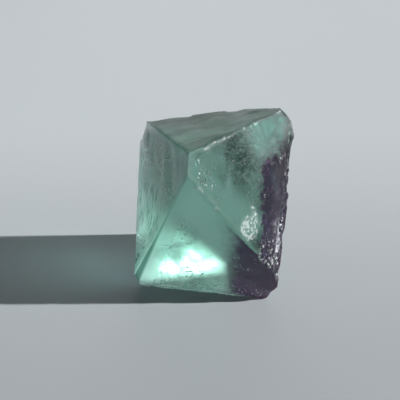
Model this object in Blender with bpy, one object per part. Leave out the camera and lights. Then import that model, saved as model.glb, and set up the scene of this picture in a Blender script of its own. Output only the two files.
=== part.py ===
"""A cleaved fluorite octahedron, standing on one of its cleavage faces.

Fluorite splits along four pairs of parallel planes, so a blank is cleaved by eight of them, at the angles of an
octahedron give or take the few degrees that rough hands leave. The piece is taller than it is wide, because its top
and bottom are further from its centre than its other faces. Four more breaks blunt its right edge, its two upper
right corners and its lower left heel. Then come the ledges where a cleavage jumped from one level to another, the
relief that each face broke with, and the shell-shaped chips along the edges.

Metres, +Z up. The origin is under the middle of the piece, on the surface that it rests on.
"""

import math
import random

import bmesh
import bpy
from mathutils import Matrix, Vector, noise

MM = 0.001
NODE_NAME = "fluorite_crystal"

# ---------------------------------------------------------------- driving dimensions, in millimetres and degrees

BLANK_SIDE = 90.0  # the rough block before it is cleaved
CENTRE_HEIGHT = 14.5  # from the resting face up to the point that the distances below are measured from
ORIGIN_SHIFT = (-1.35, 0.08)  # brings the middle of the finished piece over the origin

# name: (azimuth of the outward normal, its tilt above the horizon, distance of the plane from the centre)
CLEAVAGES = {
    "top": (147.0, 80.8, 14.4),
    "base": (0.0, -90.0, CENTRE_HEIGHT),
    "left": (-161.0, 12.6, 10.0),
    "back": (91.5, 16.0, 10.6),
    "back_right": (73.0, 18.0, 12.35),
    "front_right": (-43.7, 18.9, 11.75),
    "front": (-100.0, -19.9, 9.95),
    "right": (14.0, -18.5, 12.57),
    "back_left": (134.0, -19.0, 10.16),
}
BREAKS = {
    "right_edge": (-24.0, 7.6, 13.0),
    "upper_corner": (0.0, 46.0, 20.0),
    "rear_corner": (25.0, 24.0, 19.1),
    "heel": (-121.0, -11.0, 11.55),
}

# A ledge: (face, azimuth of the riser within the face, where the riser stands, depth of the lower level).
# The azimuth is measured in the face from its level direction, and the stand is measured from the face's middle.
LEDGES = (
    ("back", 30.0, 7.4, 0.45),
    ("back", 150.0, 9.2, 0.35),
    ("back_left", 266.0, 3.5, 0.25),
    ("back_left", 325.0, 8.4, 0.30),
    ("right", 95.0, 6.4, 0.60),
)
LEDGE_REACH = 40.0  # how far a ledge's cutter runs past the piece

GRAIN_STRETCH = 4.0  # how many times longer than wide the grooves of splintery cleavage are
EDGE_MARGIN = 1.0  # over which the relief dies away towards an edge
LONGEST_SIDE = 1.75  # of the triangles that carry the relief

# A chip: (the two faces whose edge it sits on, place along that edge from 0 to 1, radius, depth below the edge)
CHIP_SQUASH = 0.7
CHIP_SUBDIVISIONS = 2
CHIPS = (
    ("top", "left", 0.22, 2.4, 0.16),
    ("top", "left", 0.70, 3.0, 0.22),
    ("top", "front_right", 0.16, 2.2, 0.20),
    ("top", "front_right", 0.27, 1.5, 0.16),
    ("top", "front_right", 0.58, 2.9, 0.30),
    ("top", "front_right", 0.84, 1.9, 0.28),
    ("top", "back", 0.25, 1.5, 0.10),
    ("top", "back", 0.62, 1.2, 0.08),
    ("top", "back_right", 0.45, 2.2, 0.24),
    ("left", "front_right", 0.55, 2.0, 0.24),
    ("left", "front", 0.30, 3.6, 0.20),
    ("left", "front", 0.74, 2.4, 0.14),
    ("front", "front_right", 0.08, 2.6, 0.26),
    ("front", "front_right", 0.20, 1.6, 0.16),
    ("front", "front_right", 0.33, 2.0, 0.18),
    ("front", "front_right", 0.50, 3.2, 0.26),
    ("front", "front_right", 0.64, 1.8, 0.20),
    ("front", "front_right", 0.88, 2.8, 0.34),
    ("front", "base", 0.16, 2.2, 0.16),
    ("front", "base", 0.40, 3.2, 0.20),
    ("front", "base", 0.58, 1.7, 0.14),
    ("front", "base", 0.88, 2.6, 0.26),
    ("heel", "front", 0.55, 2.4, 0.18),
    ("left", "heel", 0.60, 2.2, 0.12),
    ("left", "back_left", 0.40, 3.0, 0.26),
    ("left", "back", 0.30, 2.0, 0.20),
    ("left", "back", 0.72, 3.0, 0.28),
    ("front_right", "right_edge", 0.20, 2.4, 0.30),
    ("front_right", "right_edge", 0.45, 3.2, 0.34),
    ("front_right", "right_edge", 0.80, 2.2, 0.26),
    ("right_edge", "right", 0.15, 2.8, 0.34),
    ("right_edge", "right", 0.42, 1.9, 0.26),
    ("right_edge", "right", 0.66, 3.0, 0.38),
    ("right_edge", "right", 0.90, 2.2, 0.30),
    ("right_edge", "front", 0.50, 2.2, 0.34),
    ("upper_corner", "rear_corner", 0.50, 2.6, 0.34),
    ("upper_corner", "front_right", 0.45, 2.4, 0.28),
    ("back_right", "right", 0.50, 2.9, 0.34),
    ("back", "back_left", 0.35, 2.4, 0.26),
    ("back", "back_left", 0.70, 3.4, 0.32),
    ("right", "base", 0.30, 2.8, 0.26),
    ("right", "base", 0.68, 1.9, 0.20),
    ("back_left", "base", 0.45, 2.6, 0.24),
    ("front", "right", 0.50, 2.4, 0.34),
)

FLUORITE_GREEN = (0.30, 0.56, 0.48, 1.0)
FLUORITE_ROUGHNESS = 0.18
FLUORITE_IOR = 1.434


# ---------------------------------------------------------------- planes and the directions that lie in them

class Plane:
    """A cleavage or break: its outward normal, its distance from the centre, and two directions within it."""

    def __init__(self, azimuth, tilt, distance):
        turn, lift = math.radians(azimuth), math.radians(tilt)
        self.normal = Vector(
            (math.cos(lift) * math.cos(turn), math.cos(lift) * math.sin(turn), math.sin(lift))
        )
        self.distance = distance
        self.middle = self.normal * distance
        level = Vector((-math.sin(turn), math.cos(turn), 0.0))
        self.across = level.normalized()
        self.up = self.normal.cross(self.across).normalized()

    def direction(self, degrees):
        """A direction within the plane, turned from its level direction towards its up direction."""
        turn = math.radians(degrees)
        return self.across * math.cos(turn) + self.up * math.sin(turn)

    def coordinates(self, point):
        """Where a point lies along the plane's level and up directions, in millimetres."""
        return point.dot(self.across), point.dot(self.up)


PLANES = {name: Plane(*numbers) for name, numbers in {**CLEAVAGES, **BREAKS}.items()}


# ---------------------------------------------------------------- cleaving the blank

def cleave(solid, plane):
    """Splits off what lies outside the plane and closes the cut with one flat face."""
    everything = solid.verts[:] + solid.edges[:] + solid.faces[:]
    bmesh.ops.bisect_plane(
        solid, geom=everything, plane_co=plane.middle, plane_no=plane.normal, clear_outer=True
    )
    rim = [edge for edge in solid.edges if edge.is_boundary]
    if rim:
        bmesh.ops.contextual_create(solid, geom=rim)


def cleaved_blank():
    solid = bmesh.new()
    bmesh.ops.create_cube(solid, size=BLANK_SIDE)
    for plane in PLANES.values():
        cleave(solid, plane)
    bmesh.ops.recalc_face_normals(solid, faces=solid.faces)
    return solid


# ---------------------------------------------------------------- ledges, where a cleavage jumped a level

def ledge_cutter(face, azimuth, stand, depth):
    """A block that takes a thin layer off the part of a face that lies past its riser."""
    plane = PLANES[face]
    outwards = plane.direction(azimuth)
    along = plane.normal.cross(outwards)
    corner = plane.normal * (plane.distance - depth) + outwards * stand
    middle = corner + (outwards + plane.normal) * (LEDGE_REACH / 2)
    turned = Matrix((outwards, along, plane.normal)).transposed().to_4x4()
    cutter = bmesh.new()
    bmesh.ops.create_cube(cutter, size=LEDGE_REACH, matrix=Matrix.Translation(middle) @ turned)
    return cutter


# ---------------------------------------------------------------- the relief that each face broke with

def wavering(point, wavelength, offset=0.0):
    """Smooth noise from about -1 to 1 at this wavelength, the same at each run."""
    return noise.noise(point / wavelength + Vector((offset, offset * 0.7, -offset)))


def grain(plane, point, width, depth, lean):
    """Uneven grooves and ridges that run down a face, a little bent, as on splintery cleavage."""
    across, up = plane.coordinates(point)
    bent = across + up * lean + 0.03 * up * up
    stretched = Vector((bent / width, up / (width * GRAIN_STRETCH), plane.distance))
    return depth * noise.noise(stretched)


def ripples(plane, point, start, wavelength, depth):
    """Arcs round the place where the break began, as on glass, which fade with distance."""
    across, up = plane.coordinates(point)
    reach = math.hypot(across - start[0], up - start[1])
    fade = 1.0 / (1.0 + (reach / 14.0) ** 2)
    return depth * fade * math.cos(2 * math.pi * (reach + 0.8 * wavering(point, 7.0, 5.0)) / wavelength)


def hackle(point, wavelength, depth):
    """Rough, splintered ground: noise with its valleys folded into sharp creases."""
    coarse = abs(wavering(point, wavelength, 11.0))
    fine = abs(wavering(point, wavelength * 0.45, 17.0))
    return depth * (0.7 - 2.2 * coarse - 1.1 * fine)


def ramp(value, low, high):
    share = min(1.0, max(0.0, (value - low) / (high - low)))
    return share * share * (3.0 - 2.0 * share)


def relief(name, point):
    """How far the surface stands out from a face's plane at a point, in millimetres."""
    plane = PLANES[name]
    if name == "left":
        return grain(plane, point, 2.6, 0.40, 0.12) + 0.30 * wavering(point, 9.0)
    if name == "top":
        return ripples(plane, point, (-9.0, 6.0), 7.0, 0.30) + 0.20 * wavering(point, 6.0)
    if name == "front_right":
        across, up = plane.coordinates(point)
        rough = ramp(across, 4.0, 7.0)
        feather = ramp(up, 3.0, 7.0) * grain(plane, point, 2.4, 0.40, -0.8)
        return rough * hackle(point, 3.6, 0.30) + (1.0 - rough) * feather
    if name == "front":
        return 0.08 * wavering(point, 8.0)
    if name == "heel":
        return grain(plane, point, 2.0, 0.30, 0.25)
    if name in ("right_edge", "upper_corner", "rear_corner"):
        return hackle(point, 3.2, 0.42)
    if name == "back":
        return ripples(plane, point, (9.0, -12.0), 8.0, 0.10)
    if name == "back_right":
        return grain(plane, point, 2.8, 0.40, 0.35)
    if name == "right":
        return grain(plane, point, 3.0, 0.34, -0.3) + 0.16 * wavering(point, 4.0)
    if name == "back_left":
        return ripples(plane, point, (-11.0, 10.0), 8.5, 0.10)
    return 0.0


def room(name, point):
    """From 0 where a face meets its neighbours to 1 a little way in, so that the edges stay straight."""
    gaps = [plane.distance - point.dot(plane.normal) for other, plane in PLANES.items() if other != name]
    return ramp(min(gaps), 0.0, EDGE_MARGIN)


FLAT = math.radians(0.5)


def refined(solid, longest):
    """Halves the longest sides until none is longer than this, so that the relief has corners to move."""
    bmesh.ops.triangulate(solid, faces=solid.faces)
    for length in (longest * 6, longest * 3, longest * 1.7, longest):
        level = [edge for edge in solid.edges if edge.calc_face_angle(math.pi) < FLAT]
        bmesh.ops.beautify_fill(solid, faces=solid.faces, edges=level, method="ANGLE")
        too_long = sides_to_halve(solid, length)
        while too_long:
            bmesh.ops.subdivide_edges(solid, edges=too_long, cuts=1, use_single_edge=True)
            too_long = sides_to_halve(solid, length)


def sides_to_halve(solid, length):
    """The sides over this length that are the longest one in both of their triangles."""
    lengths = {edge: edge.calc_length() for edge in solid.edges}
    longest_of = {face: max(face.edges, key=lengths.get) for face in solid.faces}
    return [
        edge
        for edge in solid.edges
        if lengths[edge] > length and all(longest_of[face] is edge for face in edge.link_faces)
    ]


SAME_PLANE = math.cos(math.radians(4.0))


def face_of(normal):
    """The cleavage or break that a normal belongs to, if any."""
    for name, plane in PLANES.items():
        if plane.normal.dot(normal) > SAME_PLANE:
            return name
    return None


def with_relief(solid):
    """Moves each corner by the relief of every face that it lies on, but leaves the resting face flat."""
    solid.normal_update()
    moves = {}
    for vert in solid.verts:
        names = {face_of(face.normal) for face in vert.link_faces} - {None}
        if "base" in names:
            names = set()
        shifts = (PLANES[name].normal * relief(name, vert.co) * room(name, vert.co) for name in names)
        moves[vert] = sum(shifts, Vector())
    for vert, move in moves.items():
        vert.co += move


# ---------------------------------------------------------------- chips along the edges

def edge_ends(first, second, corners):
    """The two ends of the edge that two faces share, among the corners of the plain cleaved shape."""
    shared = [
        corner
        for corner in corners
        if abs(corner.dot(PLANES[first].normal) - PLANES[first].distance) < 0.01
        and abs(corner.dot(PLANES[second].normal) - PLANES[second].distance) < 0.01
    ]
    if len(shared) < 2:
        raise ValueError(f"{first} and {second} share no edge")
    return max(((a, b) for a in shared for b in shared), key=lambda pair: (pair[0] - pair[1]).length)


def chips(corners):
    """One mesh of squashed balls, each of which scoops a shell-shaped chip out of an edge."""
    cutter = bmesh.new()
    turner = random.Random(7)
    for first, second, place, radius, depth in CHIPS:
        start, end = edge_ends(first, second, corners)
        if start.z < end.z:
            start, end = end, start
        spot = start.lerp(end, place)
        outwards = (PLANES[first].normal + PLANES[second].normal).normalized()
        spin = Matrix.Rotation(turner.uniform(0.0, math.tau), 4, "Z")
        aim = outwards.to_track_quat("Z", "Y").to_matrix().to_4x4()
        squash = Matrix.Diagonal((1.0, 0.8, CHIP_SQUASH, 1.0))
        middle = spot + outwards * (radius * CHIP_SQUASH - depth)
        bmesh.ops.create_icosphere(
            cutter,
            subdivisions=CHIP_SUBDIVISIONS,
            radius=radius,
            matrix=Matrix.Translation(middle) @ aim @ spin @ squash,
        )
    return cutter


# ---------------------------------------------------------------- objects

def fluorite():
    material = bpy.data.materials.new("fluorite")
    material.use_nodes = True
    shader = material.node_tree.nodes["Principled BSDF"]
    shader.inputs["Base Color"].default_value = FLUORITE_GREEN
    shader.inputs["Roughness"].default_value = FLUORITE_ROUGHNESS
    shader.inputs["Metallic"].default_value = 0.0
    shader.inputs["IOR"].default_value = FLUORITE_IOR
    shader.inputs["Transmission Weight"].default_value = 1.0
    return material


def new_object(name, solid, collection):
    mesh = bpy.data.meshes.new(name)
    solid.to_mesh(mesh)
    solid.free()
    thing = bpy.data.objects.new(name, mesh)
    collection.objects.link(thing)
    return thing


def new_collection(name):
    collection = bpy.data.collections.new(name)
    bpy.context.scene.collection.children.link(collection)
    return collection


def cut(thing, solid, name, cutters):
    """Takes a cutter's shape off an object and keeps the result as the object's own mesh."""
    cutter = new_object(name, solid, cutters)
    cutter.hide_render = True
    cutter.display_type = "WIRE"
    modifier = thing.modifiers.new(name, "BOOLEAN")
    modifier.operation = "DIFFERENCE"
    modifier.solver = "EXACT"
    modifier.use_self = True
    modifier.object = cutter
    bpy.context.view_layer.update()
    result = bpy.data.meshes.new_from_object(thing.evaluated_get(bpy.context.evaluated_depsgraph_get()))
    thing.modifiers.remove(modifier)
    thing.data = result


def as_bmesh(thing):
    solid = bmesh.new()
    solid.from_mesh(thing.data)
    return solid


def main():
    for thing in list(bpy.data.objects):
        bpy.data.objects.remove(thing)
    specimen = new_collection("fluorite_octahedron")
    cutters = new_collection("cutters")

    blank = cleaved_blank()
    corners = [vert.co.copy() for vert in blank.verts]
    crystal = new_object(NODE_NAME, blank, specimen)
    for number, ledge in enumerate(LEDGES):
        cut(crystal, ledge_cutter(*ledge), f"ledge_{number}", cutters)

    solid = as_bmesh(crystal)
    refined(solid, LONGEST_SIDE)
    with_relief(solid)
    solid.to_mesh(crystal.data)
    solid.free()
    cut(crystal, chips(corners), "chips", cutters)

    placed = Matrix.Scale(MM, 4) @ Matrix.Translation((*ORIGIN_SHIFT, CENTRE_HEIGHT))
    crystal.data.transform(placed)
    for cutter in cutters.objects:
        cutter.data.transform(placed)
    crystal.data.materials.clear()
    crystal.data.materials.append(fluorite())


main()
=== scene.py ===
# %% [markdown]
# # A cleaved fluorite octahedron, dressed for its portrait
#
# Fluorite is calcium fluoride. It grows as cubes, but it splits along the eight faces of an octahedron, and
# collectors' octahedra are mostly made that way, with a blade and a tap. The solid in the frame has the
# shape of such a piece. This lesson gives it what a blade and a few million years leave: grooves, splinters
# and cracks, clear green stone with a purple band in it, and a plain studio to look at it in.

# %% Load the frame
import math

import bmesh
import bpy
import numpy as np
from mathutils import Matrix, Vector
from mathutils.bvhtree import BVHTree


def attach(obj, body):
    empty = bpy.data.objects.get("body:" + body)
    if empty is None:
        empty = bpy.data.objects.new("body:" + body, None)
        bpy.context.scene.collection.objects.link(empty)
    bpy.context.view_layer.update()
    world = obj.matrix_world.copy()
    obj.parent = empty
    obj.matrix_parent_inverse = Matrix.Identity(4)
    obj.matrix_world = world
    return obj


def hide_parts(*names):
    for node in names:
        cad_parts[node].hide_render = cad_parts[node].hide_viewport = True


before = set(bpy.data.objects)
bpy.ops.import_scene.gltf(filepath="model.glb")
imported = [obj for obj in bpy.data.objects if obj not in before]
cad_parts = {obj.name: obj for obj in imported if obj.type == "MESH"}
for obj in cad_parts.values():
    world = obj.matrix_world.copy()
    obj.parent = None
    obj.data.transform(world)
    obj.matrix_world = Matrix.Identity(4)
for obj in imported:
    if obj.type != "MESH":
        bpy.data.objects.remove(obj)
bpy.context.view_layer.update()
NODE = "fluorite_crystal"
MM = 0.001

# %% [markdown]
# ## Node sums written as sums
#
# A node tree is a formula, but wiring it one link at a time hides that. `Wire` wraps one output socket, so
# that `1 - mask * 0.5` adds its Math nodes by itself. The same class serves materials and Geometry Nodes,
# because both kinds of tree share these nodes. Colours and vectors go through Mix and Vector Math, since
# Math would turn them grey.

# %% A socket that can be added and multiplied
class Wire:
    """An output socket of a node tree, with Python's operators."""

    def __init__(self, tree, socket):
        self.tree = tree
        self.socket = socket

    def math(self, operation, *values):
        return self.tree.add("ShaderNodeMath", {"operation": operation}, dict(enumerate(values)))

    def __add__(self, other):
        return self.math("ADD", self, other)

    def __sub__(self, other):
        return self.math("SUBTRACT", self, other)

    def __rsub__(self, other):
        return self.math("SUBTRACT", other, self)

    def __mul__(self, other):
        return self.math("MULTIPLY", self, other)

    def __truediv__(self, other):
        return self.math("DIVIDE", self, other)

    def __neg__(self):
        return self.math("MULTIPLY", self, -1.0)

    __radd__ = __add__
    __rmul__ = __mul__

    def root(self):
        return self.math("POWER", self, 0.5)

    def most(self, other):
        return self.math("MAXIMUM", self, other)

    def least(self, other):
        return self.math("MINIMUM", self, other)

    def between(self, low, high):
        """0 below low, 1 above high, with a smooth rise between."""
        settings = {"interpolation_type": "SMOOTHSTEP"}
        sockets = {"Value": self, "From Min": low, "From Max": high}
        return self.tree.add("ShaderNodeMapRange", settings, sockets, "Result")

    def vector(self, operation, other, out="Vector"):
        return self.tree.add("ShaderNodeVectorMath", {"operation": operation}, {0: self, 1: other}, out)

    def dot(self, direction):
        other = direction if isinstance(direction, Wire) else tuple(direction)
        return self.vector("DOT_PRODUCT", other, out="Value")

    def scaled(self, factor):
        sockets = {"Vector": self, "Scale": factor}
        return self.tree.add("ShaderNodeVectorMath", {"operation": "SCALE"}, sockets, "Vector")

    def mixed(self, other, share):
        """This colour where the share is 0, and the other where it is 1."""
        sockets = {"Factor": share, "A": self, "B": other}
        return self.tree.add("ShaderNodeMix", {"data_type": "RGBA"}, sockets, "Result")


# %% [markdown]
# ## One method for every node
#
# `Tree.add` takes a node's type, its settings and the values or links of its sockets, and gives back the
# output that the next step needs. The settings come first, because they decide which sockets a node has in
# use. Noise and random cells get short names of their own, since nearly every mark on the stone starts from
# one of them.

# %% Nodes, settings and sockets
class Tree:
    """A node tree that is filled by one method."""

    def __init__(self, tree):
        self.tree = tree

    def add(self, kind, settings=None, sockets=None, out=0):
        """Adds a node, makes its settings, then fills its sockets with values or wires."""
        node = self.tree.nodes.new(kind)
        for name, value in (settings or {}).items():
            setattr(node, name, value)
        for key, value in (sockets or {}).items():
            self.fill(pick(node.inputs, key), value)
        return Wire(self, pick(node.outputs, out))

    def fill(self, socket, value):
        if isinstance(value, Wire):
            self.tree.links.new(value.socket, socket)
        elif hasattr(value, "__len__") and len(value) == 3 and socket.type == "RGBA":
            socket.default_value = (*value, 1.0)
        else:
            socket.default_value = value

    def noise(self, vector, scale, detail=2.0, roughness=0.5):
        """Smooth noise from 0 to 1."""
        sockets = {"Vector": vector, "Scale": scale, "Detail": detail, "Roughness": roughness}
        return self.add("ShaderNodeTexNoise", {"noise_dimensions": "3D"}, sockets)

    def cells(self, vector, scale, out="Color"):
        """A random colour for each cell, or the place of its middle."""
        return self.add("ShaderNodeTexVoronoi", {"feature": "F1"}, {"Vector": vector, "Scale": scale}, out)

    def colour(self, colour):
        """One colour as a wire."""
        plain = self.add("ShaderNodeRGB")
        plain.socket.default_value = (*colour, 1.0)
        return plain

    def point(self, x, y, z):
        return self.add("ShaderNodeCombineXYZ", None, {"X": x, "Y": y, "Z": z})


def pick(sockets, key):
    """A socket by its place, or the one of that name that is in use."""
    if isinstance(key, int):
        return sockets[key]
    return next(socket for socket in sockets if socket.name == key and socket.enabled)


# %% [markdown]
# ## Where the camera stands
#
# The camera looks down at the crystal by about 28 degrees from 12 centimetres away, as one would hold a
# phone over a table. That close, the near edges look clearly larger than the far ones, so the distance
# matters as much as the lens.

# %% The camera
CAMERA_TILT = math.radians(27.7)
CAMERA_DISTANCE = 119.0 * MM
CAMERA_LENS = 63.0  # on a sensor 36 wide
LOOKED_AT = Vector((-2.30, 0.08, 15.35)) * MM

camera = bpy.data.objects.new("camera", bpy.data.cameras.new("camera"))
bpy.context.scene.collection.objects.link(camera)
backwards = Vector((0.0, -math.cos(CAMERA_TILT), math.sin(CAMERA_TILT)))
camera.location = LOOKED_AT + backwards * CAMERA_DISTANCE
camera.rotation_euler = (-backwards).to_track_quat("-Z", "Y").to_euler()
camera.data.lens = CAMERA_LENS
camera.data.clip_start = 1.0 * MM
bpy.context.scene.camera = camera
print("camera at", [round(value / MM) for value in camera.location], "mm")

# %% [markdown]
# ## Light for a clear stone
#
# Clear stone has little look of its own: it shows what it bends and mirrors. One lamp stands low on the
# right, a little in front, so that its light goes in through the broken edge and comes out at the far foot
# of the crystal. It is small for its distance, because a small lamp draws a sharp shadow. A wide weak panel
# behind the crystal whitens the table there, and an even pale air lights the rest.

# %% Lamps and air
AIR = (0.86, 0.95, 1.0)
AIR_STRENGTH = 0.115
LAMPS = {
    # name: (direction from the crystal, distance and width in metres, watts)
    "key": (Vector((1.75, -0.22, 1.00)), 3.00, 0.05, 128.0),
    "back": (Vector((0.0, 1.0, 0.48)), 1.20, 0.70, 2.0),
}


def lamp(name, direction, distance, width, watts):
    light = bpy.data.lights.new(name, "AREA")
    light.energy = watts
    light.size = width
    thing = bpy.data.objects.new(name, light)
    bpy.context.scene.collection.objects.link(thing)
    thing.location = LOOKED_AT + direction.normalized() * distance
    thing.rotation_euler = (-direction).to_track_quat("-Z", "Y").to_euler()
    print(name, "lamp:", watts, "watts, from", distance, "metres away")


for name, numbers in LAMPS.items():
    lamp(name, *numbers)

air = bpy.data.worlds.new("air")
air.use_nodes = True
air.node_tree.nodes["Background"].inputs["Color"].default_value = (*AIR, 1.0)
air.node_tree.nodes["Background"].inputs["Strength"].default_value = AIR_STRENGTH
bpy.context.scene.world = air
bpy.context.scene.view_settings.view_transform = "Standard"

# %% [markdown]
# ## The table
#
# The crystal stands on a sheet of pale card. A plain grey plane would be enough, but a real sheet is never
# evenly lit: it is darker near the viewer and towards the right. That uneven light is painted shade here:
# two smooth rises along the sheet's own X and Y mix three greys into the card's colour, which costs a few
# nodes instead of more lamps.

# %% A pale sheet of card, with painted shade
FLOOR_SIZE = 4.0
FLOOR_GAP = 0.03 * MM  # of air, which a crystal's few high spots leave under it
# painted shade: the near and the right greys are darker than the far one
FLOOR_FAR = (0.640, 0.680, 0.705)
FLOOR_NEAR_SHADED = (0.430, 0.458, 0.478)
FLOOR_RIGHT_SHADED = (0.575, 0.610, 0.632)
FLOOR_FADE = (-40.0 * MM, 75.0 * MM)  # along Y, from the near grey to the far one
FLOOR_TURN = (-70.0 * MM, 110.0 * MM)  # along X, to the darker right
CARD_ROUGHNESS = 0.9

bpy.ops.mesh.primitive_plane_add(size=FLOOR_SIZE)
floor = bpy.context.object
floor.name = "floor"
floor.location.z = -FLOOR_GAP


def new_material(name):
    """A material with its tree, and its Principled shader to fill."""
    material = bpy.data.materials.new(name)
    material.use_nodes = True
    return material, Tree(material.node_tree), material.node_tree.nodes["Principled BSDF"]


def object_place(tree):
    return tree.add("ShaderNodeTexCoord", None, None, "Object")


table, table_tree, table_shader = new_material("pale_table")
distance_back = object_place(table_tree).dot((0.0, 1.0, 0.0))
distance_right = object_place(table_tree).dot((1.0, 0.0, 0.0))
# painted shade, mixed into the card's colour by place
near_shaded_grey = table_tree.colour(FLOOR_NEAR_SHADED)
far_grey = table_tree.colour(FLOOR_FAR).mixed(FLOOR_RIGHT_SHADED, distance_right.between(*FLOOR_TURN))
grey = near_shaded_grey.mixed(far_grey, distance_back.between(*FLOOR_FADE))
table_tree.fill(table_shader.inputs["Base Color"], grey)
table_shader.inputs["Roughness"].default_value = CARD_ROUGHNESS
floor.data.materials.append(table)
print("table:", FLOOR_SIZE, "metres wide,", round(FLOOR_GAP / MM, 2), "mm below the crystal")

# %% [markdown]
# ## The faces of the crystal
#
# Each face broke in its own way, so every later step has to know which face it is on. A face is a plane:
# which way its outward normal points, how it tilts, and how far it is from the crystal's centre. From these
# come two directions within the face, along which grooves and marks are laid.

# %% The planes, and the directions within them
CENTRE = Vector((-1.35, 0.08, 14.5)) * MM


class Plane:
    """One face: degrees round the crystal, degrees above the level, and millimetres from the centre."""

    def __init__(self, azimuth, tilt, distance):
        turn, lift = math.radians(azimuth), math.radians(tilt)
        self.normal = Vector(
            (math.cos(lift) * math.cos(turn), math.cos(lift) * math.sin(turn), math.sin(lift))
        )
        self.across = Vector((-math.sin(turn), math.cos(turn), 0.0))
        self.up = self.normal.cross(self.across)
        self.distance = distance * MM

    def point(self, across, up, depth):
        """A point given in millimetres within the plane and below it."""
        within = self.across * across + self.up * up
        return CENTRE + self.normal * (self.distance - depth * MM) + within * MM


PLANES = {
    "top": Plane(147.0, 80.8, 14.4),
    "base": Plane(0.0, -90.0, 14.5),
    "left": Plane(-161.0, 12.6, 10.0),
    "back": Plane(91.5, 16.0, 10.6),
    "back_right": Plane(73.0, 18.0, 12.35),
    "front_right": Plane(-43.7, 18.9, 11.75),
    "front": Plane(-100.0, -19.9, 9.95),
    "right": Plane(14.0, -18.5, 12.57),
    "back_left": Plane(134.0, -19.0, 10.16),
    "right_edge": Plane(-24.0, 7.6, 13.0),
    "upper_corner": Plane(0.0, 46.0, 20.0),
    "rear_corner": Plane(25.0, 24.0, 19.1),
    "heel": Plane(-121.0, -11.0, 11.55),
}
print("faces:", len(PLANES))

# %% [markdown]
# ## A skin fine enough to carve
#
# The solid is made of a few thousand triangles. A copy of it is welded and remeshed into small even
# squares, so that the fine relief has corners to move. Subdivision would be simpler, but it would keep the
# long thin triangles that the cuts left, and relief needs corners that are evenly spread.

# %% Copy and remesh the solid
SQUARE = 0.205 * MM
SAME_CORNER = 0.001 * MM

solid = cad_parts[NODE]
crystal = bpy.data.objects.new("crystal", solid.data.copy())
bpy.context.scene.collection.objects.link(crystal)
weld = crystal.modifiers.new("weld", "WELD")
weld.merge_threshold = SAME_CORNER
remesh = crystal.modifiers.new("remesh", "REMESH")
remesh.mode = "VOXEL"
remesh.voxel_size = SQUARE


def keep_result(thing):
    """Turns what the modifiers make into the object's own mesh."""
    bpy.context.view_layer.update()
    evaluated = thing.evaluated_get(bpy.context.evaluated_depsgraph_get())
    result = bpy.data.meshes.new_from_object(evaluated)
    thing.modifiers.clear()
    thing.data = result


keep_result(crystal)
print("skin:", len(crystal.data.vertices), "corners")

# %% [markdown]
# ## Which face is this?
#
# Which face a corner lies on is worked out once, with numpy, and kept on the mesh as an attribute from 0 to
# 1 for each face. It is 1 inside the face, and falls to 0 where the face meets its neighbours. One more
# attribute is 1 on every edge. Both kinds of tree can read attributes, so the relief and the material agree
# on where a face ends.

# %% Say which face each corner lies on
FACE_MARGIN = 0.5 * MM
EDGE_REACH = 0.9 * MM


def corner_places(mesh):
    places = np.empty(len(mesh.vertices) * 3)
    mesh.vertices.foreach_get("co", places)
    return places.reshape(-1, 3)


def keep_attribute(mesh, name, values):
    attribute = mesh.attributes.new(name, "FLOAT", "POINT")
    attribute.data.foreach_set("value", values.astype(np.float32))


places = corner_places(crystal.data) - np.array(CENTRE)
below = np.stack([plane.distance - places @ np.array(plane.normal) for plane in PLANES.values()])
nearest_face = np.argmin(below, axis=0)
room = np.sort(below, axis=0)[1] - np.min(below, axis=0)
inside = np.clip(room / FACE_MARGIN, 0.0, 1.0)
for number, name in enumerate(PLANES):
    keep_attribute(crystal.data, name, np.where(nearest_face == number, inside, 0.0))
keep_attribute(crystal.data, "edge", 1.0 - np.clip(room / EDGE_REACH, 0.0, 1.0))
print({name: int(np.sum(nearest_face == number)) for number, name in enumerate(PLANES)})

# %% [markdown]
# ## Calm faces, sharp edges
#
# A fresh cleavage is nearly as flat as polished glass, and even a slight ripple would bend everything seen
# through it. So the inside of each face is smoothed, but not the few tenths of a millimetre along its
# edges. A Smooth modifier with a vertex group does both: the group's weight is 0 on the edges.

# %% Smooth each face, and leave its edges sharp
WEIGHT_STEPS = 10
SMOOTH_FACTOR = 0.5
SMOOTH_TURNS = 24

inner_corners = crystal.vertex_groups.new(name="inside")
for step in range(1, WEIGHT_STEPS + 1):
    corners = np.nonzero(np.round(inside * WEIGHT_STEPS) == step)[0]
    inner_corners.add([int(corner) for corner in corners], step / WEIGHT_STEPS, "REPLACE")
smooth = crystal.modifiers.new("smooth", "SMOOTH")
smooth.factor = SMOOTH_FACTOR
smooth.iterations = SMOOTH_TURNS
smooth.vertex_group = "inside"
keep_result(crystal)
crystal.vertex_groups.clear()
print("corners left sharp:", int(np.sum(np.round(inside * WEIGHT_STEPS) == 0)))

# %% [markdown]
# ## Ways to break
#
# Two textures serve every face, both as real relief and as the finer bump in the material. Grain is noise
# that is drawn out along one direction, as in splintery cleavage. Hackle is the crushed ground of a broken
# edge: a random tilt for each small cell. Both are written once here, for either kind of tree.

# %% Grain and hackle
LONG_GRAIN = 10.0  # how many times as long as wide a streak is


def on_plane(place, plane):
    """Where a place lies along the two directions of a plane, in millimetres."""
    shifted = place.vector("SUBTRACT", tuple(CENTRE))
    return shifted.dot(plane.across) * (1 / MM), shifted.dot(plane.up) * (1 / MM)


def grain(tree, place, plane, width, lean=0.0, bend=0.0, stretch=LONG_GRAIN, detail=2.0):
    """Noise from -1 to 1 in long streaks along the plane's up direction, leaning and bent sideways."""
    across, up = on_plane(place, plane)
    sideways = across + up * lean + up * up * bend
    spot = tree.point(sideways / width, up / (width * stretch), plane.distance / MM)
    return (tree.noise(spot, 1.0, detail) - 0.5) * 2.0


def hackle(tree, place, cell):
    """Ramps that tilt a different way in each cell, from about -0.5 to 0.5."""
    scale = 1.0 / (cell * MM)
    tilt = tree.cells(place, scale).vector("SUBTRACT", (0.5, 0.5, 0.5))
    middle = tree.cells(place, scale, "Position")
    return place.vector("SUBTRACT", middle).scaled(scale).dot(tilt)


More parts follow.
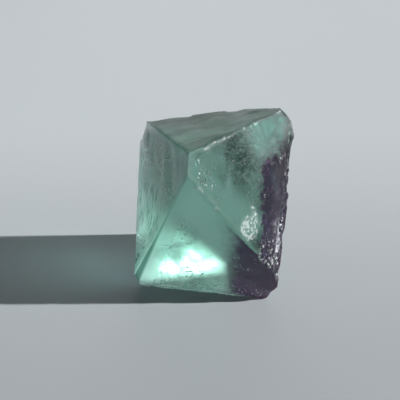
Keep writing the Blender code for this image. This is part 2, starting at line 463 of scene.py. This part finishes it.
# %% [markdown]
# ## Trees that make geometry
#
# Two steps below build a Geometry Nodes tree and run it. Each tree has named inputs for its sizes, so that
# one tree can serve several pieces. Each ends in Realize Instances and Set Material, and what it makes is
# kept as a plain mesh, because instances are lost when a model is exported as meshes.

# %% Begin, end and run a tree
def begin_tree(name, inputs):
    """A tree and its inputs as wires. An input that has no value is named for its kind."""
    group = bpy.data.node_groups.new(name, "GeometryNodeTree")
    for label, value in inputs.items():
        kind = "NodeSocket" + (label if value is None else type(value).__name__.title())
        socket = group.interface.new_socket(name=label, in_out="INPUT", socket_type=kind)
        if value is not None:
            socket.default_value = value
    group.interface.new_socket(name="Geometry", in_out="OUTPUT", socket_type="NodeSocketGeometry")
    tree = Tree(group)
    entry = group.nodes.new("NodeGroupInput")
    return tree, {socket.name: Wire(tree, socket) for socket in entry.outputs if socket.name}


def end_tree(tree, geometry, material):
    """Makes instances real, gives them their material, and hands back the whole group."""
    realized = tree.add("GeometryNodeRealizeInstances", None, {"Geometry": geometry})
    sockets = {"Geometry": realized, "Material": material}
    dressed = tree.add("GeometryNodeSetMaterial", None, sockets)
    tree.fill(tree.tree.nodes.new("NodeGroupOutput").inputs["Geometry"], dressed)
    return tree.tree


def run_tree(thing, group, values):
    """Runs a node group on an object with these inputs, and keeps what it makes."""
    modifier = thing.modifiers.new(group.name, "NODES")
    modifier.node_group = group
    for socket in group.interface.items_tree:
        if socket.in_out == "INPUT" and socket.name in values:
            modifier[socket.identifier] = values[socket.name]
    keep_result(thing)


# %% [markdown]
# ## Relief by Geometry Nodes
#
# The skin is pushed in along its normals, by an amount that follows a rule for each face: grain on the
# splintery ones, hackle on the broken ones, each times the face's own attribute. Sculpting would do it too,
# but a rule is quick to change and gives the same stone each time. Everything goes inwards, so the crystal
# never outgrows its solid.

# %% The relief tree
RELIEF_SIZES = {"Grain width": 0.9, "Grain depth": 0.05 * MM, "Hackle depth": 0.35 * MM}
GRAIN_OF_FACE = {
    # face: how far its grooves lean and bend, and how long they are
    "left": (0.09, 0.03, LONG_GRAIN),
    "heel": (0.25, 0.0, LONG_GRAIN),
    "top": (1.3, 0.02, 7.0),
    "right": (-0.3, 0.02, LONG_GRAIN),
    "back_right": (0.35, 0.02, LONG_GRAIN),
}
BROKEN_FACES = ("right_edge", "upper_corner", "rear_corner")
HACKLE_CELL = 0.9
HACKLE_SUNK = 0.6  # more than half a ramp, so that each lies below the skin


def relief_tree():
    tree, given = begin_tree("broken_faces", {"Geometry": None, **RELIEF_SIZES, "Material": None})
    place = tree.add("GeometryNodeInputPosition")

    def on(face):
        settings = {"data_type": "FLOAT"}
        return tree.add("GeometryNodeInputNamedAttribute", settings, {"Name": face}, "Attribute")

    grooves = sum(
        grain(tree, place, PLANES[face], given["Grain width"], *run) * on(face)
        for face, run in GRAIN_OF_FACE.items()
    )
    broken = sum(on(face) for face in BROKEN_FACES)
    ground = (hackle(tree, place, HACKLE_CELL) - HACKLE_SUNK) * broken * given["Hackle depth"]
    outwards = tree.add("GeometryNodeInputNormal")
    shift = outwards.scaled((grooves - 1.0) * given["Grain depth"] + ground)
    moved = tree.add("GeometryNodeSetPosition", None, {"Geometry": given["Geometry"], "Offset": shift})
    return end_tree(tree, moved, given["Material"])


# %% [markdown]
# ## Masks that say where
#
# A mark on a crystal has a place, a size and a ragged border, and it stays on its face. Painting it would
# need an image and a UV map. Here a mask is a formula instead: the distance from the mark's middle, plus
# noise, passed through a smooth step. Strokes that spread from one point are noise in polar coordinates,
# and flakes are single cells of a random pattern.

# %% Spots, rays and flakes
BORDER_NOISE = (1.1, 4.0)  # scale in a millimetre, and detail
RAY_DETAIL = 3.0
FLAKE_BORDER = 0.03


def patch(tree, spot, middle, reach, soft, ragged):
    """1 inside an oval on a face, 0 outside, with a ragged border."""
    across, up = spot
    aside, along = (across - middle[0]) / reach[0], (up - middle[1]) / reach[1]
    wander = (tree.noise(tree.point(across, up, 0.0), *BORDER_NOISE) - 0.5) * (2.0 * ragged)
    return 1.0 - ((aside * aside + along * along).root() + wander).between(1.0 - soft, 1.0 + soft)


def rays(tree, spot, start, count, length):
    """Noise from 0 to 1 in strokes that spread from one point, as in a feather."""
    across, up = spot[0] - start[0], spot[1] - start[1]
    turn = up.math("ARCTAN2", up, across)
    reach = (across * across + up * up).root()
    return tree.noise(tree.point(turn * count, reach / length, 0.0), 1.0, RAY_DETAIL)


def flakes(tree, place, width, share):
    """1 in a share of small cells, and 0 in the others."""
    picked = tree.cells(place, 1.0 / (width * MM)).dot((1.0, 0.0, 0.0))
    return picked.between(1.0 - share, 1.0 - share + FLAKE_BORDER)


# %% [markdown]
# ## The stone
#
# Fluorite bends light less than glass, by an index of 1.434. Its green is in the volume, as absorption, so
# a thick place is deeper in colour than a thin one, as in the real stone. The finish is one material for
# the whole crystal: what differs from face to face is told apart by the attributes that the mesh carries.

# %% Fluorite
FLUORITE_IOR = 1.434
GREEN_LET_THROUGH = (0.085, 0.545, 0.405)
GREEN_DENSITY = 60.0
HEEL_GAIN = 3.0  # the heel is so narrow that its share would stay low

stone, tree, shader = new_material("fluorite")
shader.inputs["IOR"].default_value = FLUORITE_IOR
shader.inputs["Transmission Weight"].default_value = 1.0
place = object_place(tree)
spots = {face: on_plane(place, plane) for face, plane in PLANES.items()}


def on(face):
    settings = {"attribute_type": "GEOMETRY", "attribute_name": face}
    return tree.add("ShaderNodeAttribute", settings, None, "Fac")


share = {face: on(face) for face in PLANES}
share["heel"] = (share["heel"] * HEEL_GAIN).least(1.0)
edge = on("edge")
broken = sum(share[face] for face in BROKEN_FACES)
print("fluorite:", len(share), "faces told apart")

# %% [markdown]
# ## Words for the marks on it
#
# A finish with dozens of marks is easier to follow when each is one line. `mark` is a ragged spot on one
# face, `cloudy` is noise all through the stone, and `strongest` keeps the largest of several masks, so that
# two marks that meet don't add up to more than one of them.

# %% Three short helpers
def mark(face, middle, reach, soft=0.3, ragged=0.5):
    """A ragged spot that stays on its face: its middle and reach in millimetres across and up."""
    return patch(tree, spots[face], middle, reach, soft, ragged) * share[face]


def cloudy(scale, detail, low, high, roughness=0.5):
    """Noise all through the stone, as a mask that rises between two of its levels."""
    return tree.noise(place, scale, detail, roughness).between(low, high)


def strongest(*masks):
    """The largest of several masks, each given with its strength."""
    result, *others = [mask * strength for mask, strength in masks]
    for other in others:
        result = result.most(other)
    return result


def count_nodes(step):
    print(step + ":", len(stone.node_tree.nodes), "nodes in the finish so far")


count_nodes("faces")

# %% [markdown]
# ## Dull and bright faces
#
# A crystal is only as clear as its surface: a fresh cleavage is bright, and a worn one is like ground
# glass. So each face has its own roughness. On the hidden face at the lower left, a few smooth spots mirror
# the lamp to the front, and so a bright patch lights up inside the stone. Flecks of noise break it up.

# %% How rough each face is
USUAL_ROUGHNESS = 0.22
FACE_ROUGHNESS = {
    "top": 0.30,
    "base": 0.20,
    "left": 0.28,
    "back": 0.22,
    "back_right": 0.26,
    "front_right": 0.27,
    "front": 0.22,
    "right": 0.51,
    "back_left": 0.20,
    "right_edge": 0.15,
    "upper_corner": 0.18,
    "rear_corner": 0.20,
    "heel": 0.45,
}
MIRRORS = (
    # middle, reach, softness and raggedness of each bright spot, then its strength
    (((0.9, -8.3), (3.1, 1.7), 0.4, 0.8), 1.0),
    (((-5.4, -7.8), (2.4, 2.7), 0.4, 0.8), 1.0),
    (((-5.0, -9.0), (9.0, 1.3), 0.5, 1.2), 0.6),
)
FLECKS = (620.0, 5.0, 0.47, 0.58)  # scale and detail of the noise, then its two levels
FLECK_STRENGTH = 0.8
BLOTCH_NOISE = (300.0, 3.0)
BLOTCHES = 0.10
DULLED = 0.26  # what the mirrors' own face has more, away from them
WORN_EDGE = 0.4

roughness = USUAL_ROUGHNESS
for face, value in FACE_ROUGHNESS.items():
    roughness = share[face] * (value - USUAL_ROUGHNESS) + roughness
mirror = strongest(*((mark("back_left", *spot), strength) for spot, strength in MIRRORS))
mirror = mirror * (1.0 - cloudy(*FLECKS) * FLECK_STRENGTH)
roughness = roughness + (tree.noise(place, *BLOTCH_NOISE) - 0.5) * BLOTCHES
roughness = roughness + (share["back_left"] - mirror) * DULLED + edge * WORN_EDGE
print("roughness from", min(FACE_ROUGHNESS.values()), "to", max(FACE_ROUGHNESS.values()))

# %% [markdown]
# ## The purple band
#
# While fluorite grows, the water it grows from changes, and so does the colour of its layers. Here the last
# layers are purple, and cross the crystal as a band on its right. The mask is a distance along X with a
# wandering border. On the front face the band starts further left, because it is seen there through more
# stone.

# %% Where the band is
BAND_START = 6.9  # millimetres to the right
BAND_LEAD = 5.4  # how much earlier it starts on the front face
BAND_BORDER = (-0.4, 0.9)  # where its border begins and ends
BAND_SPREAD = (-1.2, 1.8)  # what the front face adds to that
BAND_TOP = (23.6, 26.0)  # the heights between which it ends
WANDER = ((180.0, 2.2), (900.0, 2.6))  # scale of the noise, and millimetres that it moves a border

sideways = place.dot((1.0 / MM, 0.0, 0.0))
height = place.dot((0.0, 0.0, 1.0 / MM))
wander = sum((tree.noise(place, scale, 3.0) - 0.5) * reach for scale, reach in WANDER)
past_border = sideways - (share["front"] * -BAND_LEAD + BAND_START) + wander
begins, ends = (share["front"] * spread + border for border, spread in zip(BAND_BORDER, BAND_SPREAD))
purple = past_border.between(begins, ends)
purple = purple * (1.0 - (height + wander * 1.2).between(*BAND_TOP))
purple = purple * (1.0 - share["right"] * 0.6) * (1.0 - share["base"])
print("band: from", BAND_START, "mm to the right, up to", BAND_TOP[1], "mm high")

# %% [markdown]
# ## Purples in the band
#
# The band is nearly black where it is thick. Magenta speckles show where the layers are thin, the front
# face lets a wine colour through, and lilac clouds and a milky veil lie along the struck right edge. Each
# colour has a mask, and is mixed into what is there before it.

# %% Speckles, wine and lilac
PURPLE = (0.032, 0.005, 0.050)
FRONT_PURPLE = (0.085, 0.020, 0.090)
MAGENTA = (0.34, 0.04, 0.26)
LILAC = (0.26, 0.16, 0.32)
MAUVE = (0.26, 0.09, 0.24)
SPECKLES = (1200.0, 3.0, 0.52, 0.63)
CLOUDS = (330.0, 4.0, 0.40, 0.66, 0.6)
WINE_SPOT = ("front", (7.6, -9.0), (4.0, 3.0), 0.6)
UPPER_LILAC = ("right_edge", (0.6, 0.3), (1.2, 3.2), 0.6)
LOWER_LILAC = ("right_edge", (-1.0, -4.7), (1.2, 2.8), 0.5)
SOFT_LILAC = ("front_right", (5.9, 2.0), (1.1, 2.6), 0.7, 0.8)
MILKY_FACE = ("front_right", (4.0, -6.9), (1.2, 2.6), 0.5, 0.8)
MILKY_EDGE = ("right_edge", (-0.6, -4.2), (1.0, 2.6), 0.5, 0.8)

speckles = cloudy(*SPECKLES) * (1.0 - share["front"] * 0.7)
purples = tree.colour(PURPLE).mixed(MAGENTA, strongest((speckles, 1.0), (mark(*WINE_SPOT), 0.25)))
wine = tree.colour(FRONT_PURPLE).mixed(MAUVE, cloudy(*CLOUDS) * 0.6)
purples = purples.mixed(wine, share["front"] * 0.8)
lilac = strongest((mark(*UPPER_LILAC), 0.3), (mark(*LOWER_LILAC), 0.3), (mark(*SOFT_LILAC), 0.3))
purples = purples.mixed(LILAC, lilac)
milky = strongest((mark(*MILKY_FACE), 1.0), (mark(*MILKY_EDGE), 0.8))
count_nodes("purples")

# %% [markdown]
# ## Feather and fan
#
# Under the skin lie thin cracks that did not go through. They look like feathers or brush strokes, and they
# spread from where the blade struck. Noise in polar coordinates draws such strokes round one point: a
# turquoise fan on one side of it, and a dark inky feather on the other.

# %% Strokes round the point of the blow
BLOW = (5.8, 7.5)  # on the right front face
FEATHER_GAPS = (26.0, 3.0)  # how many strokes in a radian, and their length in millimetres
FEATHER_INK = (30.0, 2.4)
FAN_STROKES = (9.0, 2.4)
FEATHER = ("front_right", (-0.8, 9.2), (3.2, 4.2), 0.5, 0.8)
FAN = ("front_right", (6.5, 10.4), (5.2, 3.8), 0.5, 1.1)


def from_blow(count, length):
    return rays(tree, spots["front_right"], BLOW, count, length)


feather = mark(*FEATHER) * (1.0 - from_blow(*FEATHER_GAPS).between(0.50, 0.64) * 0.4)
inked = feather * from_blow(*FEATHER_INK).between(0.44, 0.52)
fan = mark(*FAN)
strokes = from_blow(*FAN_STROKES).between(0.46, 0.66)
count_nodes("feather and fan")

# %% [markdown]
# ## Streaks, moss and flaws
#
# The splintery left face is full of streaks, the top is smoky, and the front shows a mossy patch, a thin
# flaw, a crease and a veil near its foot. All are noise, drawn out along a face or kept inside a spot. They
# share one deep green, each at its own strength, and the strongest wins where two of them meet.

# %% Deep green marks
LINES = ("left", 0.50, 0.05, 0.03, 6.0, 3.0)  # face, then width, lean, bend, stretch and detail
SMOKE = ("top", 2.8, 1.3, 0.02, 3.5, 4.0)
MOSS_HAIRS = ("front", 0.5, -0.9, 0.0, 3.0, 4.0)
STREAKED = ("left", (-0.5, -1.0), (7.0, 4.6), 0.5, 0.8)
WEDGE = ("front_right", (-1.6, -5.6), (2.0, 1.9))
MOSS = ("front", (-3.6, 2.6), (4.0, 4.6), 0.5)
FLAW = ("front", (-2.6, 0.4), (4.6, 0.16), 0.4, 0.6)
SHADE = ("front", (-5.0, -2.0), (3.8, 1.7), 0.5, 0.7)
CREASE = ("front", (1.0, -4.4), (0.14, 1.7), 0.4, 0.5)
VEIL = (700.0, 5.0, 0.52, 0.62)
VEIL_TOP = (6.0, 9.0)  # the heights between which it ends
VEIL_LEFT = (-8.5, -4.0)
DARK_FOOT = (5.0, 12.0)  # the heights between which the left face clears


def grain_on(face, *run):
    return grain(tree, place, PLANES[face], *run)


streaked = mark(*STREAKED)
lines = grain_on(*LINES)
smoke = grain_on(*SMOKE).between(-0.3, 0.35) * share["top"]
moss = mark(*MOSS) * grain_on(*MOSS_HAIRS).between(0.0, 0.35)
veil = cloudy(*VEIL) * share["front"]
veil = veil * (1.0 - (height + wander).between(*VEIL_TOP)) * (sideways + wander).between(*VEIL_LEFT)
foot = share["left"] * (1.0 - (height + wander + lines * 1.5).between(*DARK_FOOT))
deep = strongest(
    (feather, 1.0),
    (fan * strokes, 0.4),
    (mark(*WEDGE), 0.9),
    (smoke, 0.85),
    (share["heel"], 0.95),
    (moss, 0.34),
    (mark(*FLAW), 0.8),
    (veil, 0.45),
    (mark(*CREASE), 0.95),
    (mark(*SHADE), 0.6),
    (foot, 0.9),
    ((-lines).between(-0.10, 0.22) * streaked, 1.0),
)
count_nodes("green marks")

# %% [markdown]
# ## What the skin lets through
#
# A clear surface tints what passes it by its base colour, once on the way in and once on the way out. So
# the marks are mixed here from nearly white, and each crossing makes them deeper. The splinters of the fan
# and the streaks also scatter the light, by more roughness.

# %% Base colour and roughness
CLEAR = (0.97, 0.98, 0.98)
TURQUOISE = (0.62, 0.98, 0.88)
DEEP_GREEN = (0.055, 0.17, 0.14)
INK_GREEN = (0.003, 0.020, 0.015)
FAN_TINT = 0.8
FAN_SCATTER = 0.42
STREAK_SCATTER = (0.08, 0.40)  # between the lines, and what they add

colour = tree.colour(CLEAR).mixed(TURQUOISE, fan * FAN_TINT).mixed(DEEP_GREEN, deep)
colour = colour.mixed(INK_GREEN, strongest((inked, 0.9), (share["heel"], 0.2)))
tree.fill(shader.inputs["Base Color"], colour.mixed(purples, purple))
streak_scatter = streaked * (lines.between(-0.1, 0.3) * STREAK_SCATTER[1] + STREAK_SCATTER[0])
tree.fill(shader.inputs["Roughness"], roughness + (fan * FAN_SCATTER).most(streak_scatter))
count_nodes("base colour")

# %% [markdown]
# ## Relief too fine for the mesh
#
# The mesh holds grooves down to a few tenths of a millimetre. What is finer, such as the thin lines of a
# splintery face and the crumbs of a broken one, only has to turn the light. A Bump node does that from a
# height alone.

# %% Fine lines and crumbs
BUMP_DEPTH = 0.06 * MM
CRUMB = 0.40
FINE_GRAIN = {
    # face: width, lean, bend, stretch and detail of its lines
    "left": (0.34, 0.09, 0.03, 14.0, 3.0),
    "top": (0.5, 1.3, 0.02, 8.0, 3.0),
    "heel": (0.34, 0.25, 0.0, LONG_GRAIN, 3.0),
}
BIG_RIPPLES = 420.0  # scale of the noise on the mirrors' face

fine = sum(grain_on(face, *run) * share[face] for face, run in FINE_GRAIN.items())
fine = fine + lines * streaked * 3.0
fine = fine + (tree.noise(place, BIG_RIPPLES) - 0.5) * share["back_left"] * 2.0
fine = fine + hackle(tree, place, CRUMB) * (broken * 1.6 + feather * 0.5 + fan * 0.3 + edge)
bump_sockets = {"Height": fine, "Strength": 1.0, "Distance": BUMP_DEPTH}
bump = tree.add("ShaderNodeBump", None, bump_sockets, "Normal")
tree.fill(shader.inputs["Normal"], bump)
print("bump:", round(BUMP_DEPTH / MM, 2), "mm deep")

# %% [markdown]
# ## Crushed and chipped spots, and painted sparkle
#
# Where an edge was struck or rubbed, the stone is powder white: tiny cracks scatter all light. These spots
# are single cells of a random pattern, kept to edges and broken ground by masks. Sparks along the resting
# rim and the glitter of the crescent cracks are made the same way, each with its own share of cells, but
# they are painted highlights: white cells in place of the sparkle of light off those places.

# %% Cells of powder, and of painted sparkle
FLAKES = {
    # mark: width of a cell in millimetres, and the share of cells that are white
    "crushed": (0.24, 0.14),
    "rim_sparkle_painted": (0.26, 0.16),
    "crescent_glitter_painted": (0.17, 0.07),
    "chips": (0.40, 0.22),
    "foil_painted_shine": (0.36, 0.50),
    "edge_glints_painted": (0.30, 0.50),
}
TENDER = (260.0, 2.0, 0.50, 0.62)  # scale and detail of the noise, then its two levels
PAINTED_GLITTER_NOISE = (520.0, 2.0, 0.50, 0.60)
UPPER_CRESCENTS = ("front_right", (-9.6, 8.2), (2.8, 3.6), 0.5, 1.0)
SIDE_CRESCENTS = ("front_right", (-7.4, 3.0), (1.0, 3.4), 0.5)
CRUSHED_FOOT = (9.0, 17.0)  # heights: below them the broken edge is crushed more
RESTING_RIM = (1.0, 3.4)  # heights: below them the front face sparkles

flaky = {mark_name: flakes(tree, place, *sizes) for mark_name, sizes in FLAKES.items()}
tender = cloudy(*TENDER)
low = 1.0 - (height + wander).between(*CRUSHED_FOOT)
struck = broken * (low * 0.7 + 0.3) + purple * 0.4 + feather * 0.1
crushed = flaky["crushed"] * tender * struck
rim = (share["front"] * 4.0).least(1.0) * (1.0 - height.between(*RESTING_RIM))
# painted highlight: white cells along the resting rim stand in for its sparkle
rim_sparkle_painted = flaky["rim_sparkle_painted"] * rim
crescents = mark(*UPPER_CRESCENTS).most(mark(*SIDE_CRESCENTS))
# painted highlight: white cells over the crescent cracks stand in for their glitter
crescent_glitter_painted = flaky["crescent_glitter_painted"] * crescents * cloudy(*PAINTED_GLITTER_NOISE)
chipped = flaky["chips"] * edge.between(0.25, 0.8) * tender * sideways.between(-4.0, 0.0)
count_nodes("cells of powder")

# %% [markdown]
# ## Foil, frost, scuffs and painted light
#
# A silvery foil of cleaved layers lies near the middle of the right front face, and its shine is painted,
# as pale cells. The glints low on the broken edge and the bright streaks on the left face are painted light
# as well. The fan and the milky places are frosted, the resting face and the left one are scuffed. Spots
# hold most of them in place, and each lets more or less of the clear stone show through.
# Spots hold most of them in place, and each lets more or less of the clear stone show through.

# %% All the white together
SCUFFS = (900.0, 4.0, 0.375, 0.667)
MILK = (1100.0, 3.0, 0.38, 0.60)
FOIL_SHINE = ("front_right", (-2.8, -2.8), (1.7, 2.0), 0.3, 0.9)
FOIL_SHINE_TAIL = ("front_right", (-0.9, -0.9), (0.5, 1.6), 0.3, 0.9)
PAINTED_GLINTS = ("right_edge", (-1.0, -4.7), (1.4, 2.8), 0.4, 0.8)

scuffs = cloudy(*SCUFFS)
# painted light: pale streaks on the left face stand in for light shining through its splinters
left_streaks_painted_light = lines.between(0.42, 0.62) * streaked
# painted reflection: the foil's silvery shine is painted as pale cells over the clear stone
foil_painted_shine = mark(*FOIL_SHINE).most(mark(*FOIL_SHINE_TAIL)) * (flaky["foil_painted_shine"] * 0.34 + 0.08)
# painted highlight: white cells low on the broken edge stand in for its glints
edge_glints_painted = mark(*PAINTED_GLINTS) * flaky["edge_glints_painted"]
milk = milky * (cloudy(*MILK) * 0.6 + 0.15)
frost = (fan * (strokes * 0.16 + 0.07)).most(milk)
# real powder, chips, frost and scuffs, together with painted light: rim sparkle, glitter, glints, foil
# shine, left streaks
powder_and_painted_light = strongest(
    (share["base"] * (scuffs * 0.5 + 0.35), 1.0),
    (crushed, 1.0),
    (left_streaks_painted_light, 0.35),
    (rim_sparkle_painted, 0.8),
    (crescent_glitter_painted, 0.8),
    (chipped, 0.5),
    (foil_painted_shine, 1.0),
    (edge_glints_painted, 0.7),
    (frost, 1.0),
    (share["left"] * (scuffs * 0.16 + 0.08), 1.0),
)
count_nodes("white marks")

# %% [markdown]
# ## The skin and the stone below it
#
# A second shader that lets nothing through stands for the white marks, both real powder and painted light,
# and a Mix Shader lays it over the clear one. Making the clear one rougher would only blur it, while real
# powder hides what is behind. The absorption in the volume gives the depth of the green.

# %% Lay the white over the clear
# the white of real powder and of the painted glints alike
POWDER_AND_GLINT_WHITE = (0.80, 0.86, 0.84)
FROSTED_GREEN = (0.30, 0.78, 0.66)
FROSTED_LILAC = (0.72, 0.66, 0.80)
WHITE_MARK_ROUGHNESS = 0.4

powder_and_glint_colour = tree.colour(POWDER_AND_GLINT_WHITE).mixed(FROSTED_GREEN, fan).mixed(FROSTED_LILAC, milky)
powder_and_glint_sockets = {"Base Color": powder_and_glint_colour, "Roughness": WHITE_MARK_ROUGHNESS, "Normal": bump}
powder_and_glint_shader = tree.add("ShaderNodeBsdfPrincipled", None, powder_and_glint_sockets, "BSDF")
clear = Wire(tree, shader.outputs["BSDF"])
skin = tree.add("ShaderNodeMixShader", None, {0: powder_and_painted_light, 1: clear, 2: powder_and_glint_shader})
green_sockets = {"Color": GREEN_LET_THROUGH, "Density": GREEN_DENSITY}
green = tree.add("ShaderNodeVolumeAbsorption", None, green_sockets)
output = stone.node_tree.nodes["Material Output"]
tree.fill(output.inputs["Surface"], skin)
tree.fill(output.inputs["Volume"], green)
count_nodes("fluorite")

# %% [markdown]
# ## Cut the relief
#
# The material is ready, so the tree can now carve the crystal and hand it over with its skin. Smooth
# shading keeps the faces of so fine a mesh calm, and its edges still look sharp, because they are only a
# square or two wide.

# %% Carve the crystal
run_tree(crystal, relief_tree(), {"Material": stone})
crystal.data.shade_smooth()
print("crystal:", len(crystal.data.polygons), "faces")

# %% [markdown]
# ## Cracks inside the stone
#
# A tap of the blade leaves small cracks under the faces. Each is a curved film of air, and mirrors light
# like a sliver of silver. A Geometry Nodes tree scatters them: an arc is swept with a thin flat profile,
# and copies of it are put on random points a little below a face, each turned and sized by chance. One tree
# serves every group of cracks, with other numbers in its inputs.

# %% The crack tree
CRACK_SIZES = {
    "Count": 10,
    "Seed": 1,
    "Reach across": 3.0 * MM,
    "Reach up": 2.0 * MM,
    "Radius": 0.55 * MM,
    "Depth": 0.26 * MM,
    "Thickness": 0.015 * MM,
    "Turn": math.pi,
    "Sweep": math.radians(100.0),
}
ARC_POINTS = 9
CRACK_TILT = 0.25  # radians out of the face's plane, either way
SMALLEST, LARGEST = 0.4, 1.4  # times the usual size


def crack_tree():
    tree, given = begin_tree("inner_cracks", {**CRACK_SIZES, "Material": None})

    def chance(number, low, high):
        sockets = {"Min": low, "Max": high, "Seed": given["Seed"] + number}
        return tree.add("FunctionNodeRandomValue", {"data_type": "FLOAT"}, sockets, "Value")

    arc = tree.add("GeometryNodeCurveArc", {"mode": "RADIUS"}, {
        "Resolution": ARC_POINTS, "Radius": given["Radius"], "Sweep Angle": given["Sweep"],
    })
    blade = tree.add("GeometryNodeCurvePrimitiveQuadrilateral", {"mode": "RECTANGLE"}, {
        "Width": given["Thickness"], "Height": given["Depth"],
    })
    film = tree.add("GeometryNodeCurveToMesh", None, {
        "Curve": arc, "Profile Curve": blade, "Fill Caps": True,
    })
    across = chance(1, -1.0, 1.0) * given["Reach across"]
    up = chance(2, -1.0, 1.0) * given["Reach up"]
    sockets = {"Count": given["Count"], "Position": tree.point(across, up, 0.0)}
    dots = tree.add("GeometryNodePoints", None, sockets)
    tilts = [chance(number, -CRACK_TILT, CRACK_TILT) for number in (3, 4)]
    turn = tree.point(*tilts, chance(5, -1.0, 1.0) * given["Turn"])
    cracks = tree.add("GeometryNodeInstanceOnPoints", None, {
        "Points": dots, "Instance": film, "Rotation": turn, "Scale": chance(6, SMALLEST, LARGEST),
    })
    return end_tree(tree, cracks, given["Material"])


# %% [markdown]
# ## Air as a film
#
# Air in a crack could be a clear film with an index of its own, but light would then need many more bounces
# to find its way. Seen at a slant, such a film mirrors nearly all light, so a pale and rather dull metal
# stands for it.

# %% The film's finish
FILM_WHITE = (0.93, 1.0, 0.97, 1.0)
FILM_ROUGHNESS = 0.45

silver, _, silver_shader = new_material("air_film")
silver_shader.inputs["Base Color"].default_value = FILM_WHITE
silver_shader.inputs["Metallic"].default_value = 1.0
silver_shader.inputs["Roughness"].default_value = FILM_ROUGHNESS
print("film: roughness", FILM_ROUGHNESS)

# %% [markdown]
# ## Where the cracks are
#
# Each row of this table is one group: the face that it lies under, where, and what differs from the usual
# sizes. They lie in drifts under the right front face and the front, and a few under the top.

# %% Groups of cracks
CRACKS = (
    # face, across, up and depth of the middle, then the inputs that differ from the usual ones
    ("front_right", (-9.6, 8.2, 0.40), {
        "Count": 44, "Seed": 3, "Reach across": 2.4 * MM, "Radius": 0.4 * MM,
    }),
    ("front_right", (-9.4, 8.8, 0.60), {
        "Count": 5, "Seed": 8, "Reach across": 1.2 * MM, "Radius": 1.7 * MM, "Depth": 0.1 * MM, "Sweep": 1.4,
    }),
    ("front_right", (-7.6, 2.8, 0.40), {
        "Count": 16, "Seed": 12, "Reach across": 0.8 * MM, "Reach up": 3.0 * MM,
    }),
    ("front_right", (-4.4, 6.8, 0.40), {
        "Count": 8, "Seed": 11, "Reach across": 1.6 * MM, "Reach up": 1.6 * MM,
    }),
    ("front_right", (-0.6, 3.0, 0.40), {
        "Count": 14, "Seed": 15, "Reach across": 0.7 * MM, "Reach up": 3.4 * MM,
    }),
    ("front_right", (5.2, 10.2, 0.40), {
        "Count": 24, "Seed": 5, "Reach across": 4.0 * MM, "Reach up": 1.6 * MM,
    }),
    ("front", (-3.4, 3.6, 0.40), {
        "Count": 60, "Seed": 7, "Reach across": 2.8 * MM, "Reach up": 3.0 * MM, "Sweep": 0.8,
    }),
    ("front", (-1.0, -4.0, 0.40), {
        "Count": 18, "Seed": 21, "Reach across": 5.0 * MM, "Reach up": 4.0 * MM, "Sweep": 0.9,
    }),
    ("front", (3.0, -8.4, 0.40), {
        "Count": 30, "Seed": 22, "Reach across": 7.0 * MM, "Reach up": 1.6 * MM,
    }),
    ("top", (-5.8, 3.4, 0.40), {
        "Count": 7, "Seed": 4, "Reach across": 1.7 * MM, "Reach up": 0.4 * MM, "Radius": 0.9 * MM,
    }),
    ("top", (-3.8, 9.6, 0.60), {
        "Count": 9, "Seed": 6, "Reach across": 0.9 * MM, "Reach up": 1.2 * MM,
    }),
)
print("groups:", len(CRACKS), "with", sum(values["Count"] for _, _, values in CRACKS), "cracks")

# %% [markdown]
# ## Only those that fit inside
#
# A crack that would come through the skin is left out. A rule about depth can't promise that near an edge,
# so each corner of each crack is measured against the carved crystal itself, with a tree that finds the
# nearest spot of a surface quickly.

# %% Place the cracks
ROOM_OVER_CRACK = 0.06 * MM
surface = BVHTree.FromObject(crystal, bpy.context.evaluated_depsgraph_get())
group = crack_tree()


def depth_below_surface(spot):
    """How far a spot lies inside the crystal, and less than 0 if it is outside."""
    nearest, outwards = surface.find_nearest(spot)[:2]
    return (nearest - spot).length * math.copysign(1.0, (nearest - spot).dot(outwards))


def drop_cracks(thing, dropped):
    """Deletes the cracks that are marked. All have the same number of corners."""
    corners_of_each = len(thing.data.vertices) // len(dropped)
    mesh = bmesh.new()
    mesh.from_mesh(thing.data)
    gone = [vertex for number, vertex in enumerate(mesh.verts) if dropped[number // corners_of_each]]
    bmesh.ops.delete(mesh, geom=gone, context="VERTS")
    mesh.to_mesh(thing.data)
    mesh.free()


films = []
least_depth = math.inf
for face, (across, up, depth), values in CRACKS:
    plane = PLANES[face]
    film = bpy.data.objects.new("film", bpy.data.meshes.new("film"))
    bpy.context.scene.collection.objects.link(film)
    run_tree(film, group, {**values, "Material": silver})
    turned = Matrix((plane.across, plane.up, plane.normal)).transposed().to_4x4()
    film.data.transform(Matrix.Translation(plane.point(across, up, depth)) @ turned)
    depths = np.array([depth_below_surface(vertex.co) for vertex in film.data.vertices])
    shallowest = depths.reshape(values["Count"], -1).min(axis=1)
    too_near = shallowest < ROOM_OVER_CRACK
    least_depth = shallowest[~too_near].min(initial=least_depth)
    drop_cracks(film, too_near)
    print(face, (across, up), "cracks kept:", int(np.sum(~too_near)), "of", values["Count"])
    films.append(film)

# %% [markdown]
# ## One piece of cracks
#
# The groups share one finish and one fate, so they are joined into one mesh. It goes wherever the crystal
# goes.

# %% Join the groups
with bpy.context.temp_override(active_object=films[0], selected_editable_objects=films):
    bpy.ops.object.join()
cracks = films[0]
cracks.name = "inner_cracks"
print("cracks:", len(cracks.data.polygons), "faces, the nearest", round(least_depth / MM, 2), "mm deep")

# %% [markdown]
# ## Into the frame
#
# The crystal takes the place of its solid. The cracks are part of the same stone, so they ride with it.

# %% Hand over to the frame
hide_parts(NODE)
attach(crystal, "root")
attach(cracks, "root")
